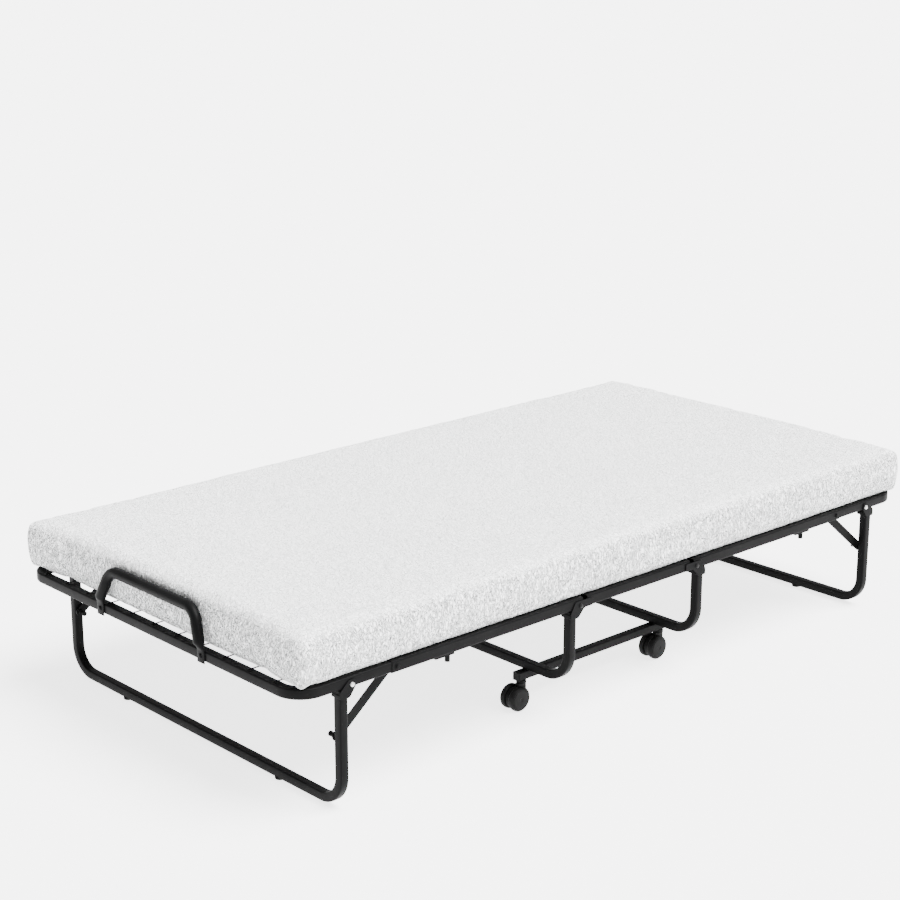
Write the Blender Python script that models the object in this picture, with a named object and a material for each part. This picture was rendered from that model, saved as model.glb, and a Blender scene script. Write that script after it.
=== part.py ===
"""A folding rollaway bed: a wheeled centre frame, two hinged half frames, end legs and a foam mattress.

Metres. X runs along the bed, foot end at -X and head end at +X. Y runs across it, left side at +Y.
Z is up. The origin is on the floor under the centre of the bed.
"""

import math

import bmesh
import bpy
from mathutils import Matrix, Vector

GAP = 0.0003
SIDE_GAP = 0.0005
WALL = 0.0012
SINK = 0.0006
ENDS = {"foot": -1, "head": 1}
SIDES = {"right": -1, "left": 1}

# Side rails and end tubes
RAIL_SIZE = 0.025
RAIL_Y = 0.471
RAIL_Z = 0.2705
RAIL_INNER_X = 0.178
RAIL_OUTER_X = 0.713
MID_RAIL_X = 0.165
RAIL_INNER_Y = RAIL_Y - RAIL_SIZE / 2 - SIDE_GAP
END_TUBE_SIZE = RAIL_SIZE - 2 * WALL - 2 * GAP
END_BAR_X = 0.950 - END_TUBE_SIZE / 2
END_TUBE_BEND = 0.050
END_TUBE_INSERT_X = 0.655

# Catches under the side rails, which hold the folded legs
CATCH_FROM_X = 0.547
CATCH_TO_X = 0.597
CATCH_HALF_WIDTH = 0.010
CATCH_THICK = 0.004
CATCH_KNOB_XS = {"foot": 0.557, "head": 0.578}
CATCH_KNOB_RADIUS = 0.0055
CATCH_KNOB_BOTTOM_Z = 0.238

# Legs, cross bars and caster bars share one smaller tube
TUBE_SIZE = 0.020
CROSS_BAR_Z = 0.2715
CROSS_BAR_XS = {"outer": 0.620, "middle": 0.547, "inner": 0.255}
TAB_BARS = ("outer", "middle")
TAB_BAR_END_Y = 0.449
TAB_THICK = 0.004
TAB_HALF_WIDTH = 0.007
TAB_OVERLAP = 0.020
MID_CROSS_BAR_X = 0.1425

# Wire deck
WIRE_RADIUS = 0.0015
WIRE_PITCH = 0.0815
WIRE_COUNT_EACH_SIDE = 5
WIRE_Z = RAIL_Z + END_TUBE_SIZE / 2 + GAP + WIRE_RADIUS
CROSS_WIRE_Z = WIRE_Z - 1.6 * WIRE_RADIUS
OUTER_DECK = {"from_x": 0.612, "to_x": 0.944, "cross_xs": (0.727, 0.833)}
INNER_DECK = {"from_x": 0.247, "to_x": 0.555, "cross_xs": (0.400,)}

# Mattress retainer loops
LOOP_FOOT_X = 0.9545
LOOP_TOP_X = 0.9425
LOOP_RADIUS = 0.0118
LOOP_BEND = 0.040
LOOP_TOP_Z = 0.360
LOOP_TOP_Y = 0.150
LOOP_FOOT_Y = 0.180
LOOP_FOOT_Z = 0.2885
LOOP_PLATE_Z = (0.256, 0.297)
LOOP_PLATE_HALF_WIDTH = 0.0118
LOOP_PLATE_THICK = 0.003

# Folding end legs
LEG_X = 0.834
LEG_TOP_Z = 0.2565
LEG_BAR_Z = 0.015
LEG_BEND = 0.057
GLIDE_Y = 0.273
GLIDE_RADIUS = 0.011
LEG_PIVOT = (0.816, 0.266)
LEG_EAR_GAP = 0.0007
LEG_EAR = (
    (0.8460, 0.240), (0.8460, 0.256), (0.824, 0.2762), (0.808, 0.2762), (0.806, 0.262), (0.8220, 0.240),
)
LEG_COLLAR_Z = (0.2405, 0.2500)

# Centre legs and the fold pivots on their tops
MID_LEG_X = 0.205
MID_LEG_TOP_Z = 0.2545
MID_LEG_BAR_Z = 0.096
MID_LEG_BEND = 0.060
FOLD_PIVOT = (0.187, 0.266)
FOLD_EAR_GAP = 0.0005
FOLD_EAR = (
    (0.2165, 0.240), (0.2165, 0.254), (0.203, 0.277), (0.150, 0.277), (0.150, 0.2595),
    (0.176, 0.2595), (0.1935, 0.240),
)
FOLD_COLLAR_Z = (0.240, 0.2505)

# Brackets round the leg tops
EAR_THICK = 0.002
COLLAR_WALL = 0.0015
HOLLOW_PAST = 0.010
HOLLOW_INSET = 0.0002
DRILL_FROM_Y = 0.440
DRILL_TO_Y = 0.500

# Bolts and braces
BOLT_RADIUS = 0.003
HOLE_RADIUS = 0.0033
BOLT_HEAD_RADIUS = 0.0052
BOLT_HEAD_HEIGHT = 0.0036
NUT_RADIUS = 0.0048
NUT_HEIGHT = 0.0040
BRACE_WIDTH = 0.020
BRACE_THICK = 0.003
RIVET_RADIUS = 0.005
RIVET_HEIGHT = 0.003
RIVET_DRILL_Y = RAIL_Y - 0.004
RIVET_PIN_Y = RAIL_Y - 0.006
BRACE_LEG_POINT = (LEG_X, 0.154)
BRACE_RAIL_POINT = (0.700, 0.262)
BRACE_OUTER_Y = RAIL_INNER_Y

# Caster bars and casters
CASTER_BAR_Y = 0.345
CASTER_BAR_HALF = 0.238
CASTER_BAR_Z = MID_LEG_BAR_Z - TUBE_SIZE - GAP
CASTER_X = 0.2235
CASTER_TRAIL = 0.019
WHEEL_RADIUS = 0.028
WHEEL_OUTER_Y = 0.022
WHEEL_INNER_Y = 0.0065
WHEEL_RIM_ROUND = 0.0015
WHEEL_COVER_ROUND = 0.0050
CASTER_WEB = 0.010
CASTER_WEB_RADIUS = 0.0235
CASTER_ARM_X = (-0.014, 0.0115)
CASTER_ARM_Z = (0.034, 0.060)
NECK_RADIUS = 0.0115
NECK_BOTTOM_Z = 0.0575
STEM_RADIUS = 0.004
STEM_TOP_Z = 0.081

# Mattress
MATTRESS_HALF_LENGTH = 0.930
MATTRESS_HALF_WIDTH = 0.484
MATTRESS_BOTTOM_Z = 0.2855
MATTRESS_TOP_Z = 0.3875
MATTRESS_SPLITS = (0.160, 0.313)
MATTRESS_EDGE = 0.018

STEEL_BLACK = ("steel_black", (0.014, 0.014, 0.015), 0.45, 0.0)
WIRE_BLACK = ("wire_black", (0.014, 0.014, 0.015), 0.45, 0.0)
BOLT_BLACK = ("bolt_black", (0.020, 0.020, 0.021), 0.40, 0.0)
ZINC = ("zinc", (0.62, 0.62, 0.60), 0.35, 1.0)
PLASTIC_BLACK = ("plastic_black", (0.020, 0.020, 0.021), 0.55, 0.0)
WHEEL_BLACK = ("wheel_black", (0.016, 0.016, 0.017), 0.60, 0.0)
MATTRESS_WHITE = ("mattress_white", (0.80, 0.80, 0.79), 0.95, 0.0)


def material(look):
    """The Principled material of this name, made on first use."""
    name, colour, roughness, metallic = look
    if name in bpy.data.materials:
        return bpy.data.materials[name]
    made = bpy.data.materials.new(name)
    made.use_nodes = True
    made.diffuse_color = (*colour, 1)
    shader = made.node_tree.nodes["Principled BSDF"]
    shader.inputs["Base Color"].default_value = (*colour, 1)
    shader.inputs["Roughness"].default_value = roughness
    shader.inputs["Metallic"].default_value = metallic
    return made


def pivot(name, position, parent=None):
    """An empty on a joint's axis, which carries the pieces of one moving body."""
    empty = bpy.data.objects.new(name, None)
    empty.empty_display_size = 0.05
    bpy.context.collection.objects.link(empty)
    empty["at"] = list(position)
    here = Vector(position)
    if parent:
        empty.parent = parent
        here = here - Vector(parent["at"])
    empty.location = here
    return empty


def piece(name, mesh, look, carrier):
    """An object from a bmesh in world coordinates, carried by its body's empty."""
    bmesh.ops.recalc_face_normals(mesh, faces=mesh.faces)
    bmesh.ops.translate(mesh, verts=mesh.verts, vec=-Vector(carrier["at"]))
    data = bpy.data.meshes.new(name)
    mesh.to_mesh(data)
    mesh.free()
    data.materials.append(material(look))
    data.shade_smooth()
    data.set_sharp_from_angle(angle=math.radians(40))
    made = bpy.data.objects.new(name, data)
    made.parent = carrier
    bpy.context.collection.objects.link(made)
    return made


def combine(target, mesh, operation):
    """Joins a bmesh in world coordinates to a piece, or cuts it away."""
    tool = piece("tool", mesh, STEEL_BLACK, target.parent)
    modifier = target.modifiers.new("combine", "BOOLEAN")
    modifier.object = tool
    modifier.operation = operation
    modifier.solver = "EXACT"
    bpy.context.view_layer.update()
    evaluated = target.evaluated_get(bpy.context.evaluated_depsgraph_get())
    result = bpy.data.meshes.new_from_object(evaluated)
    target.modifiers.clear()
    target.data = result
    tool_data = tool.data
    bpy.data.objects.remove(tool)
    bpy.data.meshes.remove(tool_data)
    target.data.set_sharp_from_angle(angle=math.radians(40))


def box(low, high, mesh=None):
    """A box between two corners given in any order."""
    mesh = mesh or bmesh.new()
    low, high = Vector(low), Vector(high)
    made = bmesh.ops.create_cube(mesh, size=1)
    size = Vector([abs(a - b) for a, b in zip(low, high)])
    bmesh.ops.scale(mesh, verts=made["verts"], vec=size)
    bmesh.ops.translate(mesh, verts=made["verts"], vec=(low + high) / 2)
    return mesh


def rod(start, end, radius, sides, mesh=None):
    """A round bar between two points."""
    mesh = mesh or bmesh.new()
    start, end = Vector(start), Vector(end)
    turn = (end - start).to_track_quat("Z", "Y").to_matrix().to_4x4()
    bmesh.ops.create_cone(
        mesh, segments=sides, radius1=radius, radius2=radius, depth=(end - start).length,
        cap_ends=True, matrix=Matrix.Translation((start + end) / 2) @ turn,
    )
    return mesh


def rounded_square(size, radius, steps=2):
    """Points round a square section with rounded corners."""
    points = []
    inset = size / 2 - radius
    for quarter in range(4):
        middle = math.radians(45 + 90 * quarter)
        centre = Vector((math.copysign(inset, math.cos(middle)), math.copysign(inset, math.sin(middle))))
        for step in range(steps + 1):
            angle = math.radians(90 * quarter + 90 * step / steps)
            points.append(centre + radius * Vector((math.cos(angle), math.sin(angle))))
    return points


def square(size):
    half = size / 2
    return [Vector(p) for p in ((half, half), (-half, half), (-half, -half), (half, -half))]


def circle(radius, sides):
    angles = [2 * math.pi * i / sides for i in range(sides)]
    return [radius * Vector((math.cos(a), math.sin(a))) for a in angles]


def rounded_path(corners, radius, steps=4):
    """Points and directions along a polyline whose inner corners are arcs."""
    corners = [Vector(corner) for corner in corners]
    stations = [(corners[0], (corners[1] - corners[0]).normalized())]
    for before, corner, after in zip(corners, corners[1:], corners[2:]):
        into = (corner - before).normalized()
        out = (after - corner).normalized()
        turn = into.angle(out)
        axis = into.cross(out).normalized()
        start = corner - into * radius * math.tan(turn / 2)
        centre = start + axis.cross(into) * radius
        for step in range(steps + 1):
            spin = Matrix.Rotation(turn * step / steps, 3, axis)
            stations.append((centre + spin @ (start - centre), spin @ into))
    stations.append((corners[-1], (corners[-1] - corners[-2]).normalized()))
    return stations


def tube(stations, normal, outer, inner):
    """A hollow tube with open ends, swept along a flat path whose plane has this normal.

    The outer section has a whole number of points for each point of the inner one.
    """
    mesh = bmesh.new()
    normal = Vector(normal)
    ends = []
    for profile in (outer, inner):
        rings = []
        for point, direction in stations:
            side = direction.cross(normal)
            rings.append([mesh.verts.new(point + normal * p.x + side * p.y) for p in profile])
        for ring, following in zip(rings, rings[1:]):
            for i in range(len(profile)):
                j = (i + 1) % len(profile)
                mesh.faces.new((ring[i], ring[j], following[j], following[i]))
        ends.append((rings[0], rings[-1]))
    fan = len(outer) // len(inner)
    for outer_ring, inner_ring in zip(*ends):
        for i, corner in enumerate(inner_ring):
            near = [outer_ring[fan * i + j] for j in range(fan)]
            for pair in zip(near, near[1:]):
                mesh.faces.new((*pair, corner))
            following = outer_ring[(fan * (i + 1)) % len(outer)]
            mesh.faces.new((near[-1], following, inner_ring[(i + 1) % len(inner)], corner))
    return mesh


def square_tube(stations, normal, size):
    return tube(stations, normal, rounded_square(size, size * 0.14), square(size - 2 * WALL))


def straight_tube(start, end, size):
    """A square tube between two points, with two faces level."""
    start, end = Vector(start), Vector(end)
    along = (end - start).normalized()
    return square_tube([(start, along), (end, along)], (0, 0, 1), size)


def lathe_y(centre, profile, sides):
    """A turned piece about an axis along Y, from (distance along Y, radius) pairs."""
    mesh = bmesh.new()
    verts = [mesh.verts.new((0, along, radius)) for along, radius in profile]
    edges = [mesh.edges.new(pair) for pair in zip(verts, verts[1:])]
    bmesh.ops.spin(
        mesh, geom=verts + edges, cent=(0, 0, 0), axis=(0, 1, 0), angle=2 * math.pi,
        steps=sides, use_merge=True,
    )
    bmesh.ops.remove_doubles(mesh, verts=mesh.verts, dist=1e-6)
    bmesh.ops.translate(mesh, verts=mesh.verts, vec=centre)
    return mesh


def plate(outline, y_from, y_to):
    """A flat plate in the XZ plane, between two Y values."""
    mesh = bmesh.new()
    face = mesh.faces.new([mesh.verts.new((x, y_from, z)) for x, z in outline])
    pushed = bmesh.ops.extrude_face_region(mesh, geom=[face])
    verts = [item for item in pushed["geom"] if isinstance(item, bmesh.types.BMVert)]
    bmesh.ops.translate(mesh, verts=verts, vec=(0, y_to - y_from, 0))
    return mesh


def leg_tube(x, top_z, bar_z, bend):
    """A leg frame's U tube: down one side, across under the bed and up the other."""
    corners = ((x, RAIL_Y, top_z), (x, RAIL_Y, bar_z), (x, -RAIL_Y, bar_z), (x, -RAIL_Y, top_z))
    return square_tube(rounded_path(corners, bend), (1, 0, 0), TUBE_SIZE)


def add_bracket(leg, end, side, leg_x, outline, collar_z, between):
    """A folded bracket welded round a leg's top, with an ear on each side of the rail."""
    inner, outer = RAIL_Y - between / 2, RAIL_Y + between / 2
    collar_x = TUBE_SIZE / 2 + COLLAR_WALL
    collar = box(
        (end * (leg_x - collar_x), side * (inner - EAR_THICK), collar_z[0]),
        (end * (leg_x + collar_x), side * (outer + EAR_THICK), collar_z[1]),
    )
    combine(leg, collar, "UNION")
    for face, back in ((inner, inner - EAR_THICK), (outer, outer + EAR_THICK)):
        ear = plate([(end * x, z) for x, z in outline], side * face, side * back)
        combine(leg, ear, "UNION")
    hollow = TUBE_SIZE / 2 - WALL - HOLLOW_INSET
    cutter = box(
        (end * leg_x - hollow, side * RAIL_Y - hollow, collar_z[0] - HOLLOW_PAST),
        (end * leg_x + hollow, side * RAIL_Y + hollow, collar_z[1] + HOLLOW_PAST),
    )
    combine(leg, cutter, "DIFFERENCE")


def drill_across(target, x, z, y_from, y_to):
    """A round hole along Y for an M6 bolt or a rivet."""
    combine(target, rod((x, y_from, z), (x, y_to, z), HOLE_RADIUS, 12), "DIFFERENCE")


def drill_side(target, end, side, at):
    """A pivot hole through both ears of a bracket, or both walls of a rail."""
    drill_across(target, end * at[0], at[1], side * DRILL_FROM_Y, side * DRILL_TO_Y)


def pivot_bolt(name, end, side, at, between, look, carrier):
    """A domed bolt along Y with its nut on the inner side."""
    reach = between / 2 + EAR_THICK + GAP
    nut_y = -reach - NUT_HEIGHT
    profile = [
        (nut_y, 0), (nut_y, NUT_RADIUS), (-reach, NUT_RADIUS), (-reach, BOLT_RADIUS),
        (reach, BOLT_RADIUS), (reach, BOLT_HEAD_RADIUS),
        (reach + BOLT_HEAD_HEIGHT * 0.55, BOLT_HEAD_RADIUS * 0.89),
        (reach + BOLT_HEAD_HEIGHT * 0.90, BOLT_HEAD_RADIUS * 0.50),
        (reach + BOLT_HEAD_HEIGHT, 0),
    ]
    centre = (end * at[0], side * RAIL_Y, at[1])
    mesh = lathe_y((0, 0, 0), [(side * along, radius) for along, radius in profile], 10)
    bmesh.ops.translate(mesh, verts=mesh.verts, vec=centre)
    return piece(name, mesh, look, carrier)


def make_mid_frame(base):
    """The wheeled centre frame, which stands on the floor and carries both halves."""
    between = RAIL_SIZE + 2 * FOLD_EAR_GAP
    for end_name, end in ENDS.items():
        tube_mesh = leg_tube(end * MID_LEG_X, MID_LEG_TOP_Z, MID_LEG_BAR_Z, MID_LEG_BEND)
        leg = piece(f"mid_leg_{end_name}", tube_mesh, STEEL_BLACK, base)
        for side in SIDES.values():
            add_bracket(leg, end, side, MID_LEG_X, FOLD_EAR, FOLD_COLLAR_Z, between)
            drill_side(leg, end, side, FOLD_PIVOT)
        bar_end = RAIL_Y - between / 2 - EAR_THICK - GAP
        x = end * MID_CROSS_BAR_X
        bar = straight_tube((x, -bar_end, CROSS_BAR_Z), (x, bar_end, CROSS_BAR_Z), TUBE_SIZE)
        piece(f"mid_cross_bar_{end_name}", bar, STEEL_BLACK, base)
    for side_name, side in SIDES.items():
        y = side * RAIL_Y
        rail = straight_tube((-MID_RAIL_X, y, RAIL_Z), (MID_RAIL_X, y, RAIL_Z), RAIL_SIZE)
        piece(f"mid_rail_{side_name}", rail, STEEL_BLACK, base)
        y = side * CASTER_BAR_Y
        start, finish = (-CASTER_BAR_HALF, y, CASTER_BAR_Z), (CASTER_BAR_HALF, y, CASTER_BAR_Z)
        bar = piece(f"caster_bar_{side_name}", straight_tube(start, finish, TUBE_SIZE), STEEL_BLACK, base)
        for end_name, end in ENDS.items():
            x = end * CASTER_X
            hole = rod((x, y, CASTER_ARM_Z[1]), (x, y, CASTER_BAR_Z), STEM_RADIUS + GAP, 12)
            combine(bar, hole, "DIFFERENCE")
            name = f"fold_bolt_{end_name}_{side_name}"
            pivot_bolt(name, end, side, FOLD_PIVOT, between, BOLT_BLACK, base)


def make_caster(tag, stem_x, stem_y, base):
    """A twin-wheel swivel caster: a housing with a stem, and a wheel pair on one axle."""
    axle_x = stem_x - CASTER_TRAIL
    swivel = pivot(f"caster_{tag}", (stem_x, stem_y, CASTER_BAR_Z), base)
    half = CASTER_WEB / 2
    disc = [(-half, 0), (-half, CASTER_WEB_RADIUS), (half, CASTER_WEB_RADIUS), (half, 0)]
    web = lathe_y((axle_x, stem_y, WHEEL_RADIUS), disc, 14)
    housing = piece(f"caster_housing_{tag}", web, PLASTIC_BLACK, swivel)
    arm = box(
        (stem_x + CASTER_ARM_X[0], stem_y - half, CASTER_ARM_Z[0]),
        (stem_x + CASTER_ARM_X[1], stem_y + half, CASTER_ARM_Z[1]),
    )
    combine(housing, arm, "UNION")
    neck_top = CASTER_BAR_Z - TUBE_SIZE / 2 - GAP
    neck = rod((stem_x, stem_y, NECK_BOTTOM_Z), (stem_x, stem_y, neck_top), NECK_RADIUS, 16)
    combine(housing, neck, "UNION")
    stem = rod((stem_x, stem_y, CASTER_ARM_Z[1]), (stem_x, stem_y, STEM_TOP_Z), STEM_RADIUS, 12)
    combine(housing, stem, "UNION")
    drill_across(housing, axle_x, WHEEL_RADIUS, stem_y - CASTER_WEB, stem_y + CASTER_WEB)
    axle = pivot(f"wheels_{tag}", (axle_x, stem_y, WHEEL_RADIUS), swivel)
    half_profile = [
        (WHEEL_INNER_Y, BOLT_RADIUS), (WHEEL_INNER_Y, WHEEL_RADIUS - WHEEL_RIM_ROUND),
        (WHEEL_INNER_Y + WHEEL_RIM_ROUND, WHEEL_RADIUS), (WHEEL_OUTER_Y - WHEEL_COVER_ROUND, WHEEL_RADIUS),
        (WHEEL_OUTER_Y, WHEEL_RADIUS - WHEEL_COVER_ROUND), (WHEEL_OUTER_Y, 0),
    ]
    profile = [(-y, radius) for y, radius in reversed(half_profile)] + half_profile
    wheels = lathe_y((axle_x, stem_y, WHEEL_RADIUS), profile, 20)
    piece(f"caster_wheels_{tag}", wheels, WHEEL_BLACK, axle)


def make_deck(name, end, deck, carrier):
    """A welded wire deck: long wires laid on the cross bars, with cross wires under them."""
    mesh = bmesh.new()
    for k in range(-WIRE_COUNT_EACH_SIDE, WIRE_COUNT_EACH_SIDE + 1):
        y = k * WIRE_PITCH
        rod((end * deck["from_x"], y, WIRE_Z), (end * deck["to_x"], y, WIRE_Z), WIRE_RADIUS, 6, mesh)
    wires = piece(name, mesh, WIRE_BLACK, carrier)
    cross = bmesh.new()
    for x in deck["cross_xs"]:
        start, finish = (end * x, -RAIL_INNER_Y, CROSS_WIRE_Z), (end * x, RAIL_INNER_Y, CROSS_WIRE_Z)
        rod(start, finish, WIRE_RADIUS, 6, cross)
    combine(wires, cross, "UNION")


def make_cross_bar(name, end, x, tabbed, carrier):
    """A cross bar between the side rails; a tabbed one leaves room under its ends for the brace."""
    tube_end = TAB_BAR_END_Y if tabbed else RAIL_INNER_Y
    x = end * x
    mesh = straight_tube((x, -tube_end, CROSS_BAR_Z), (x, tube_end, CROSS_BAR_Z), TUBE_SIZE)
    bar = piece(name, mesh, STEEL_BLACK, carrier)
    if not tabbed:
        return
    top = CROSS_BAR_Z + TUBE_SIZE / 2
    for side in SIDES.values():
        low = (x - TAB_HALF_WIDTH, side * (TAB_BAR_END_Y - TAB_OVERLAP), top - TAB_THICK)
        high = (x + TAB_HALF_WIDTH, side * RAIL_INNER_Y, top)
        combine(bar, box(low, high), "UNION")


def make_retainer(name, end, carrier):
    """The loop that keeps the mattress on: it leans on the mattress, and has a flat foot at each side."""
    corners = (
        (end * LOOP_FOOT_X, LOOP_FOOT_Y, LOOP_FOOT_Z), (end * LOOP_TOP_X, LOOP_TOP_Y, LOOP_TOP_Z),
        (end * LOOP_TOP_X, -LOOP_TOP_Y, LOOP_TOP_Z), (end * LOOP_FOOT_X, -LOOP_FOOT_Y, LOOP_FOOT_Z),
    )
    rise = Vector((end * (LOOP_TOP_X - LOOP_FOOT_X), 0, LOOP_TOP_Z - LOOP_FOOT_Z)).normalized()
    outer = circle(LOOP_RADIUS, 12)
    inner = circle(LOOP_RADIUS - WALL, 6)
    mesh = tube(rounded_path(corners, LOOP_BEND), Vector((0, 1, 0)).cross(rise), outer, inner)
    loop = piece(name, mesh, STEEL_BLACK, carrier)
    face_x = END_BAR_X + END_TUBE_SIZE / 2 + GAP
    for side in SIDES.values():
        y = side * LOOP_FOOT_Y
        low = (end * face_x, y - LOOP_PLATE_HALF_WIDTH, LOOP_PLATE_Z[0])
        high = (end * (face_x + LOOP_PLATE_THICK), y + LOOP_PLATE_HALF_WIDTH, LOOP_PLATE_Z[1])
        combine(loop, box(low, high), "UNION")


def make_half_frame(end_name, end, frame):
    """One folding half: end tube, side rails, cross bars, wire decks and the mattress loop."""
    corners = (
        (end * END_TUBE_INSERT_X, RAIL_Y, RAIL_Z), (end * END_BAR_X, RAIL_Y, RAIL_Z),
        (end * END_BAR_X, -RAIL_Y, RAIL_Z), (end * END_TUBE_INSERT_X, -RAIL_Y, RAIL_Z),
    )
    mesh = square_tube(rounded_path(corners, END_TUBE_BEND, 6), (0, 0, 1), END_TUBE_SIZE)
    end_tube = piece(f"end_tube_{end_name}", mesh, STEEL_BLACK, frame)
    for side_name, side in SIDES.items():
        drill_side(end_tube, end, side, LEG_PIVOT)
        y = side * RAIL_Y
        mesh = straight_tube((end * RAIL_INNER_X, y, RAIL_Z), (end * RAIL_OUTER_X, y, RAIL_Z), RAIL_SIZE)
        rail = piece(f"side_rail_{end_name}_{side_name}", mesh, STEEL_BLACK, frame)
        drill_side(rail, end, side, FOLD_PIVOT)
        rail_bottom = RAIL_Z - RAIL_SIZE / 2
        low = (end * CATCH_FROM_X, y - CATCH_HALF_WIDTH, rail_bottom - CATCH_THICK)
        high = (end * CATCH_TO_X, y + CATCH_HALF_WIDTH, rail_bottom + SINK)
        combine(rail, box(low, high), "UNION")
        knob_x = end * CATCH_KNOB_XS[end_name]
        knob_top = rail_bottom - CATCH_THICK + SINK
        knob = rod((knob_x, y, CATCH_KNOB_BOTTOM_Z), (knob_x, y, knob_top), CATCH_KNOB_RADIUS, 12)
        combine(rail, knob, "UNION")
    for bar_name, x in CROSS_BAR_XS.items():
        make_cross_bar(f"cross_bar_{end_name}_{bar_name}", end, x, bar_name in TAB_BARS, frame)
    make_deck(f"wire_deck_{end_name}_outer", end, OUTER_DECK, frame)
    make_deck(f"wire_deck_{end_name}_inner", end, INNER_DECK, frame)
    make_retainer(f"mattress_loop_{end_name}", end, frame)


def make_end_leg(end_name, end, frame):
    """A folding end leg with its brackets, bolts, glides and braces."""
    between = END_TUBE_SIZE + 2 * LEG_EAR_GAP
    leg_body = pivot(f"{end_name}_leg", (end * LEG_PIVOT[0], 0, LEG_PIVOT[1]), frame)
    leg = piece(
        f"end_leg_{end_name}", leg_tube(end * LEG_X, LEG_TOP_Z, LEG_BAR_Z, LEG_BEND), STEEL_BLACK, leg_body
    )
    for side_name, side in SIDES.items():
        tag = f"{end_name}_{side_name}"
        add_bracket(leg, end, side, LEG_X, LEG_EAR, LEG_COLLAR_Z, between)
        drill_side(leg, end, side, LEG_PIVOT)
        point_x, point_z = end * BRACE_LEG_POINT[0], BRACE_LEG_POINT[1]
        drill_across(leg, point_x, point_z, side * BRACE_OUTER_Y, side * RIVET_DRILL_Y)
        pivot_bolt(f"leg_bolt_{tag}", end, side, LEG_PIVOT, between, ZINC, frame)
        glide = rod(
            (end * LEG_X, side * GLIDE_Y, 0), (end * LEG_X, side * GLIDE_Y, LEG_BAR_Z - TUBE_SIZE / 2 - GAP),
            GLIDE_RADIUS, 16,
        )
        piece(f"glide_{tag}", glide, PLASTIC_BLACK, leg_body)
        make_brace(tag, end, side, leg_body)


def make_brace(tag, end, side, leg_body):
    """A flat bar riveted to the leg, whose other end runs along the rail's inner side."""
    low = Vector((end * BRACE_LEG_POINT[0], BRACE_LEG_POINT[1]))
    high = Vector((end * BRACE_RAIL_POINT[0], BRACE_RAIL_POINT[1]))
    body = pivot(f"brace_pivot_{tag}", (low.x, 0, low.y), leg_body)
    along = (high - low).normalized()
    across = Vector((-along.y, along.x))
    outline = []
    for centre, facing in ((high, 1), (low, -1)):
        for step in range(7):
            angle = math.radians(-90 + 30 * step)
            offset = along * facing * math.cos(angle) + across * facing * math.sin(angle)
            outline.append(centre + offset * BRACE_WIDTH / 2)
    inner_y = side * (BRACE_OUTER_Y - BRACE_THICK)
    bar = piece(f"brace_{tag}", plate(outline, inner_y, side * BRACE_OUTER_Y), STEEL_BLACK, body)
    head_y = inner_y - side * RIVET_HEIGHT
    within = inner_y + side * SINK
    for point in (low, high):
        rivet = rod((point.x, head_y, point.y), (point.x, within, point.y), RIVET_RADIUS, 12)
        combine(bar, rivet, "UNION")
    pin = rod((low.x, inner_y, low.y), (low.x, side * RIVET_PIN_Y, low.y), BOLT_RADIUS, 12)
    combine(bar, pin, "UNION")


def mattress_block(name, x_from, x_to, carrier):
    """One stretch of the mattress, with its long edges and any outer end edge rounded off."""
    low = (x_from, -MATTRESS_HALF_WIDTH, MATTRESS_BOTTOM_Z)
    mesh = box(low, (x_to, MATTRESS_HALF_WIDTH, MATTRESS_TOP_Z))
    outer_x = MATTRESS_HALF_LENGTH - 1e-6

    def is_rounded(edge):
        one, two = (vert.co for vert in edge.verts)
        lengthwise = abs(one.y - two.y) < 1e-6 and abs(one.z - two.z) < 1e-6
        return lengthwise or (abs(one.x) > outer_x and abs(two.x) > outer_x)

    edges = [edge for edge in mesh.edges if is_rounded(edge)]
    bmesh.ops.bevel(mesh, geom=edges, offset=MATTRESS_EDGE, segments=2, affect="EDGES", profile=0.5)
    return piece(name, mesh, MATTRESS_WHITE, carrier)


def make_mattress(base, frames):
    """The foam mattress, split where it bends."""
    near, far = MATTRESS_SPLITS
    mattress_block("mattress_middle", -near, near, base)
    for end_name, end in ENDS.items():
        bend = sorted((end * (near + GAP), end * (far - GAP)))
        mattress_block(f"mattress_bend_{end_name}", *bend, frames[end_name])
        panel = sorted((end * far, end * MATTRESS_HALF_LENGTH))
        mattress_block(f"mattress_panel_{end_name}", *panel, frames[end_name])


def make_bed():
    for old in list(bpy.data.objects):
        bpy.data.objects.remove(old)
    base = pivot("base", (0, 0, 0))
    make_mid_frame(base)
    for end_name, end in ENDS.items():
        for side_name, side in SIDES.items():
            make_caster(f"{end_name}_{side_name}", end * CASTER_X, side * CASTER_BAR_Y, base)
    frames = {}
    for end_name, end in ENDS.items():
        frame = pivot(f"{end_name}_frame", (end * FOLD_PIVOT[0], 0, FOLD_PIVOT[1]), base)
        frames[end_name] = frame
        make_half_frame(end_name, end, frame)
        make_end_leg(end_name, end, frame)
    make_mattress(base, frames)


make_bed()
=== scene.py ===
import math

import bmesh
import bpy
from mathutils import Matrix, Vector, noise


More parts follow.
